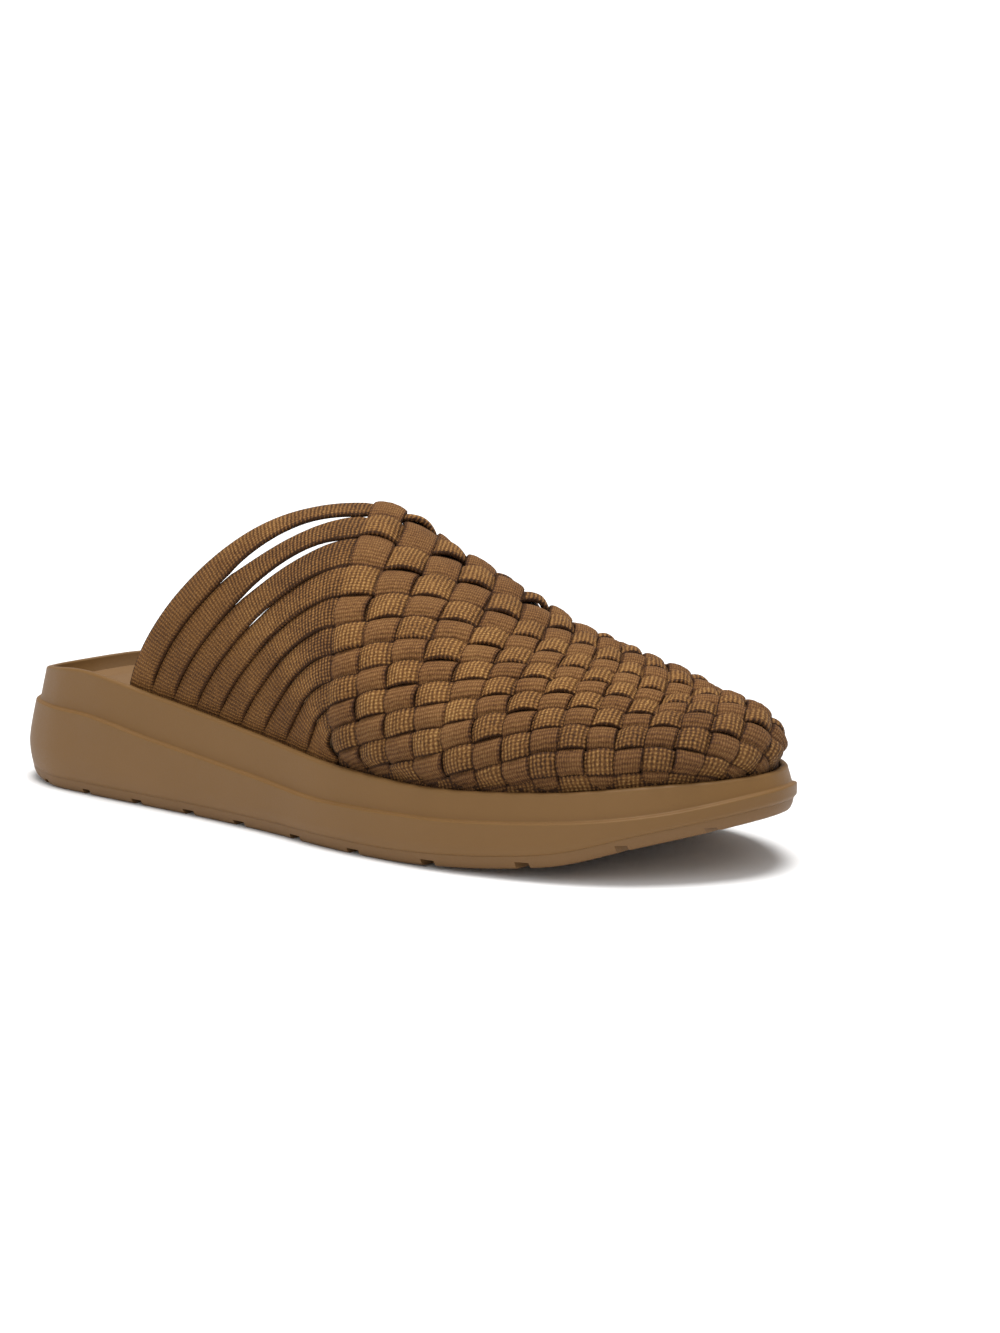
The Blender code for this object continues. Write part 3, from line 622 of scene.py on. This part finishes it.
class Nodes:
    """Short ways to add and join shader nodes."""

    def __init__(self, name):
        self.mat = bpy.data.materials.new(name)
        self.mat.use_nodes = True
        self.tree = self.mat.node_tree
        self.shader = self.tree.nodes["Principled BSDF"]

    def put(self, node, key, value):
        """Set an input, by name or by number, to a value or to another node's output."""
        socket = node.inputs[key] if not key.isdigit() else node.inputs[int(key)]
        if isinstance(value, bpy.types.NodeSocket):
            self.tree.links.new(value, socket)
        else:
            socket.default_value = value

    def math(self, operation, a, b=0.0, c=0.0):
        """One step of arithmetic."""
        node = self.tree.nodes.new("ShaderNodeMath")
        node.operation = operation
        for k, value in enumerate((a, b, c)):
            self.put(node, str(k), value)
        return node.outputs[0]

    def mix(self, factor, a, b):
        """One colour fading into another."""
        node = self.tree.nodes.new("ShaderNodeMix")
        node.data_type = "RGBA"
        self.put(node, "0", factor)
        self.put(node, "6", a)
        self.put(node, "7", b)
        return node.outputs[2]

    def place(self):
        """Place on the object."""
        return self.tree.nodes.new("ShaderNodeTexCoord").outputs["Object"]

    def noise(self, vector, scale, detail):
        """Random cloudiness from nought to one."""
        node = self.tree.nodes.new("ShaderNodeTexNoise")
        self.put(node, "Vector", vector)
        self.put(node, "Scale", scale)
        self.put(node, "Detail", detail)
        return node.outputs["Fac"]

    def uv(self, name):
        """Both parts of a UV layer."""
        node = self.tree.nodes.new("ShaderNodeUVMap")
        node.uv_map = name
        split = self.tree.nodes.new("ShaderNodeSeparateXYZ")
        self.put(split, "0", node.outputs[0])
        return split.outputs[0], split.outputs[1]

    def stripes(self, value, pitch, wobble):
        """Soft stripes from nought to one, a little uneven."""
        turn = self.math("ADD", self.math("MULTIPLY", value, 2 * math.pi / pitch), wobble)
        return self.math("MULTIPLY_ADD", self.math("SINE", turn), 0.5, 0.5)

    def ramp(self, value, colours):
        """Colours in even steps over nought to one."""
        node = self.tree.nodes.new("ShaderNodeValToRGB")
        stops = node.color_ramp.elements
        while len(stops) < len(colours):
            stops.new(0.5)
        for k, colour in enumerate(colours):
            stops[k].position = k / (len(colours) - 1)
            stops[k].color = (*colour, 1)
        self.put(node, "0", value)
        return node.outputs[0]

    def bump(self, height, strength, distance):
        """A surface roughened by a height, with the distance in metres."""
        node = self.tree.nodes.new("ShaderNodeBump")
        self.put(node, "Strength", strength)
        self.put(node, "Distance", distance)
        self.put(node, "Height", height)
        return node.outputs[0]


def webbing(name, rib, thread, depth, colours, plain):
    """Ribbed webbing: ribs across the strip broken into dots, plainer where free."""
    n = Nodes(name)
    along, beside = n.uv("along_across")
    free, lift = n.uv("free_lift")
    edge, rise = n.uv("edge_rise")
    place = n.place()
    wobble = n.math("MULTIPLY", n.noise(place, WOBBLE_SCALE, 3.0), RIB_WOBBLE)
    ribs = n.stripes(along, rib, wobble)
    rows = n.stripes(beside, thread, wobble)
    dots = n.math("MULTIPLY", n.math("MULTIPLY_ADD", ribs, depth, 1 - depth),
                  n.math("MULTIPLY_ADD", rows, THREAD_DEPTH, 1 - THREAD_DEPTH))
    fine = n.noise(place, FIBRE_SCALE, 2.0)
    patchy = n.noise(place, PATCH_SCALE, 3.0)
    # Brightness from nought to one: threads, patches, fuzz, painted shade where strips dip under
    # others, then painted shade at the edges
    level = n.math("ADD", n.math("MULTIPLY", dots, DOTS_SHARE),
                   n.math("MULTIPLY_ADD", patchy, *PATCHES))
    level = n.math("ADD", level, n.math("MULTIPLY_ADD", fine, *FUZZ))
    dip = n.math("MINIMUM", n.math("SUBTRACT", n.math("ADD", lift, free), DIP_BELOW), 0.0)
    level = n.math("ADD", level, n.math("MULTIPLY", dip, DIP_SHADE))
    # Painted shade along each strip's edges, where it meets its neighbours
    edge_shade = n.math("MAXIMUM", n.math("SUBTRACT", edge, EDGE_SHADE_FROM), 0.0)
    level = n.math("SUBTRACT", level, n.math("MULTIPLY", edge_shade, EDGE_SHADE_DEPTH))
    gold = n.ramp(level, colours)
    dull = n.ramp(level, plain)
    colour = n.mix(n.math("MULTIPLY", free, FREE_DULLNESS), gold, dull)
    low = n.math("MULTIPLY", n.math("SUBTRACT", 1.0, rise),
                 n.math("SUBTRACT", SHADE_MOST, free))
    colour = n.mix(n.math("MAXIMUM", low, 0.0), colour, SHADE)
    n.put(n.shader, "Base Color", colour)
    n.put(n.shader, "Roughness", 0.78)
    n.put(n.shader, "Specular IOR Level", 0.2)
    height = n.math("ADD", dots, n.math("MULTIPLY", fine, 0.5))
    n.put(n.shader, "Normal", n.bump(height, 1.0, 0.0004))
    return n.mat


def foam(name, dark, light, rough, grain):
    """Moulded foam: almost even colour, a fine skin and a soft gloss."""
    n = Nodes(name)
    place = n.place()
    cloud = n.noise(place, CLOUD_SCALE, 4.0)
    fine = n.noise(place, FIBRE_SCALE, 3.0)
    level = n.math("ADD", n.math("MULTIPLY", cloud, CLOUD_SHARE),
                   n.math("MULTIPLY", fine, 1 - CLOUD_SHARE))
    n.put(n.shader, "Base Color", n.mix(level, dark, light))
    rough = n.math("MULTIPLY_ADD", fine, ROUGH_SPREAD, rough - ROUGH_SPREAD / 2)
    n.put(n.shader, "Roughness", rough)
    n.put(n.shader, "Specular IOR Level", 0.3)
    n.put(n.shader, "Normal", n.bump(fine, grain, 0.00012))
    return n.mat


def ring(loop, inset, height):
    """The outline moved inward, with its heights from a function of x."""
    flat = inset_loop(loop, inset)
    return np.column_stack([flat, height(loop[:, 0])])


def round_over(loop, inset, height, radius, start, count):
    """Rings round an outer edge, from a share of the quarter turn up to its top."""
    rings = []
    for turn in np.linspace(start, 1, count) * math.pi / 2:
        rings.append(ring(loop, inset + radius * (1 - math.cos(turn)), lambda x, t=turn:
                          height(x) - radius * (1 - math.sin(t))))
    return rings


def ring_solid(name, rings):
    """A closed solid through a list of rings, its two ends closed across."""
    n = len(rings[0])
    points = np.vstack(rings)
    faces = []
    for level in range(len(rings) - 1):
        for k in range(n):
            a, b = level * n + k, level * n + (k + 1) % n
            faces.append([a, b, b + n, a + n])
    last = (len(rings) - 1) * n
    for k in range(n // 2):
        lat, lat2 = k, k + 1
        med, med2 = (n - k) % n, n - k - 1
        for cap in ([lat, med, med2, lat2], [lat2 + last, med2 + last, med + last, lat + last]):
            faces.append([v for m, v in enumerate(cap) if v not in cap[:m]])
    return make_object(name, points, faces)


def make_outsole():
    """The thin bottom layer with a finer outline, cut across by the same grooves."""
    loop = outline_loop(FINE_POINTS)
    rings = []
    for up, inset in OUTSOLE_RINGS:
        rings.append(ring(loop, OUTSOLE_INSET * inset, lambda x, u=up:
                          spring(x) + u * OUTSOLE_THICK))
    sole = ring_solid("outsole_skin", rings)
    for share, width in GROOVES:
        cut_groove(sole, share * LENGTH, width)
    sole.data.set_sharp_from_angle(angle=SHARP_ANGLE)
    return sole


def cut_groove(sole, x, width):
    """Cut one groove across the tread, a little slanted."""
    depth = float(spring(x)) + GROOVE_DEPTH
    points = []
    for z in (-GROOVE_BELOW, depth):
        for side in (-1, 1):
            for edge in (-1, 1):
                points.append((x + edge * width / 2 + side * GROOVE_SLANT,
                               side * BALL_WIDTH, z))
    faces = [[0, 2, 3, 1], [4, 5, 7, 6], [0, 1, 5, 4], [1, 3, 7, 5], [3, 2, 6, 7], [2, 0, 4, 6]]
    cutter = make_object("groove_cutter", points, faces)
    cut = sole.modifiers.new("groove", "BOOLEAN")
    cut.operation = "DIFFERENCE"
    cut.solver = "EXACT"
    cut.object = cutter
    bpy.context.view_layer.objects.active = sole
    sole.select_set(True)
    bpy.ops.object.modifier_apply(modifier=cut.name)
    sole.select_set(False)
    bpy.data.objects.remove(cutter, do_unlink=True)


def make_midsole():
    """The midsole with a finer outline and its ledge and rim rounded over."""
    loop = outline_loop(FINE_POINTS)
    heel = heel_share(loop[:, 0])
    lean = HEEL_STEP_LEAN * heel
    rim = RIM_OUTER + HEEL_LEAN * heel
    inner = RIM_INNER + HEEL_LEAN * heel
    bottom = lambda x: spring(x) + OUTSOLE_THICK + SKIN_GAP
    rings = [ring(loop, OUTSOLE_TOP, bottom)]
    for up in np.linspace(0, 1, 15)[1:]:
        out = OUTSOLE_TOP * max(1 - up / BAND_TURN, 0) ** 2
        inset = out + lean * max((up - BAND_TURN) / (1 - BAND_TURN), 0) ** BAND_CURVE
        rings.append(ring(loop, inset, lambda x, s=up:
                          bottom(x) * (1 - s) + (side_step(x) - LEDGE_ROUND) * s))
    rings += round_over(loop, lean, side_step, LEDGE_ROUND, 0.2, 5)
    base = lean + STEP_DEPTH
    foot = lambda x: side_step(x) + LEDGE_LIFT
    for turn in np.linspace(0, 1, 4) * math.pi / 2:
        rings.append(ring(loop, base - LEDGE_FOOT * (1 - math.sin(turn)), lambda x, t=turn:
                          foot(x) + LEDGE_FOOT * (1 - math.cos(t))))
    for share in (0.25, 0.5, 0.75, 0.92):
        rings.append(ring(loop, base * (1 - share) + rim * share, lambda x, s=share:
                          (foot(x) + LEDGE_FOOT) * (1 - s) + (rim_top(x) - RIM_ROUND) * s))
    rings += round_over(loop, rim, rim_top, RIM_ROUND, 0, 6)
    for turn in np.linspace(0, 1, 4) * math.pi / 2:
        rings.append(ring(loop, inner - RIM_INNER_ROUND * (1 - math.sin(turn)),
                          lambda x, t=turn: rim_top(x) - RIM_INNER_ROUND * (1 - math.cos(t))))
    rings.append(ring(loop, inner, recess_floor))
    return ring_solid("midsole_skin", rings)


def recess_floor(x):
    """Bottom of the recess, kept well above the underside at the toe."""
    least = spring(x) + OUTSOLE_THICK + GAP + FLOOR_LEAST
    return np.maximum(rim_top(x) - RECESS_DEPTH, least)


def upper_room(x):
    """Width the footbed leaves for the upper, none behind its first strap."""
    side = smooth_step((x / LENGTH - FOOT_FIRST[0] + ROOM_BEFORE) / ROOM_RUN)
    toe = np.clip((x / LENGTH - TOE_ROOM_X) / TOE_ROOM_RUN, 0, 1)
    return (WALL + SIDE_ROOM) * side + TOE_ROOM * toe


def make_footbed():
    """The footbed with a finer outline, a rounded edge and a dished top."""
    loop = outline_loop(FINE_POINTS)
    x = loop[:, 0]
    heel = heel_share(x)
    edge = RIM_INNER + GAP + HEEL_LEAN * heel + upper_room(x)
    top = lambda x: rim_top(x) - FOOTBED_DROP
    rings = [ring(loop, edge, lambda x: recess_floor(x) + GAP),
             ring(loop, edge, lambda x: top(x) - FOOTBED_ROUND)]
    rings += round_over(loop, edge, top, FOOTBED_ROUND, 0.25, 4)
    for share in (0.2, 0.4, 0.6, 0.8, 1.0):
        rings.append(ring(loop, edge + FOOTBED_ROUND + DISH_RUN * share, lambda x, s=share:
                          top(x) - FOOTBED_DISH * smooth_step(s)))
    return ring_solid("footbed_skin", rings)


def make_floor():
    """A wide pale floor that runs out of sight."""
    size = FLOOR_SIZE
    mesh = bpy.data.meshes.new("floor")
    mesh.from_pydata([(-size, -size, 0), (size, -size, 0), (size, size, 0), (-size, size, 0)],
                     [], [(0, 1, 2, 3)])
    obj = bpy.data.objects.new("floor", mesh)
    bpy.context.scene.collection.objects.link(obj)
    n = Nodes("floor_white")
    n.put(n.shader, "Base Color", FLOOR_WHITE)
    n.put(n.shader, "Roughness", 0.9)
    n.put(n.shader, "Specular IOR Level", 0.0)
    obj.data.materials.append(n.mat)


def make_light():
    """Two soft suns and a sky that is brighter near the horizon."""
    world = bpy.data.worlds.new("studio")
    world.use_nodes = True
    tree = world.node_tree
    sky = tree.nodes["Background"]
    sky.inputs["Color"].default_value = (1, 1, 1, 1)
    split = tree.nodes.new("ShaderNodeSeparateXYZ")
    place = tree.nodes.new("ShaderNodeTexCoord")
    tree.links.new(place.outputs["Generated"], split.inputs[0])
    fade = tree.nodes.new("ShaderNodeMapRange")
    tree.links.new(split.outputs[2], fade.inputs["Value"])
    for key, value in (("From Min", SKY_FADE[0]), ("From Max", SKY_FADE[1]),
                       ("To Min", SKY_LOW), ("To Max", SKY_HIGH)):
        fade.inputs[key].default_value = value
    tree.links.new(fade.outputs[0], sky.inputs["Strength"])
    bpy.context.scene.world = world
    for name, aim, angle, power in SUNS:
        data = bpy.data.lights.new(name, "SUN")
        data.energy = power
        data.angle = math.radians(angle)
        obj = bpy.data.objects.new(name, data)
        bpy.context.scene.collection.objects.link(obj)
        obj.rotation_euler = Vector(aim).to_track_quat("Z", "Y").to_euler()
    bpy.context.scene.view_settings.view_transform = "Standard"


def make_camera():
    """The photo's view."""
    data = bpy.data.cameras.new("camera")
    data.sensor_width = SENSOR
    data.lens = FOCAL_PIXELS * SENSOR / IMAGE_HEIGHT
    obj = bpy.data.objects.new("camera", data)
    bpy.context.scene.collection.objects.link(obj)
    back = Vector((math.sin(CAMERA_AZIMUTH) * math.cos(CAMERA_ELEVATION),
                   -math.cos(CAMERA_AZIMUTH) * math.cos(CAMERA_ELEVATION),
                   math.sin(CAMERA_ELEVATION)))
    obj.location = Vector(CAMERA_AIM) - Vector(CENTRE) + back * CAMERA_DISTANCE
    obj.rotation_euler = back.to_track_quat("Z", "Y").to_euler()
    bpy.context.scene.camera = obj


def dress(obj, mat, node):
    """Give a piece its material, and say what it rides on and replaces."""
    obj.data.materials.clear()
    obj.data.materials.append(mat)
    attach(obj, "root")
    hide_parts(node)


def main():
    """Build and dress every piece, then the floor, the light and the camera."""
    rows = webbing("webbing_ribbed", *RIBBED, GOLD, DULL)
    columns = webbing("webbing_fine", *FINE, EVEN, DULL)
    for obj, to_medial in add_strips():
        dress(obj, rows if to_medial else columns, "upper")
    side = foam("foam_side", *SIDE_FOAM)
    bed = foam("foam_bed", *BED_FOAM)
    dress(make_midsole(), side, "midsole")
    dress(make_footbed(), bed, "footbed")
    tread = foam("rubber_tread", *TREAD_FOAM)
    dress(make_outsole(), tread, "outsole")
    make_floor()
    make_light()
    make_camera()


main()
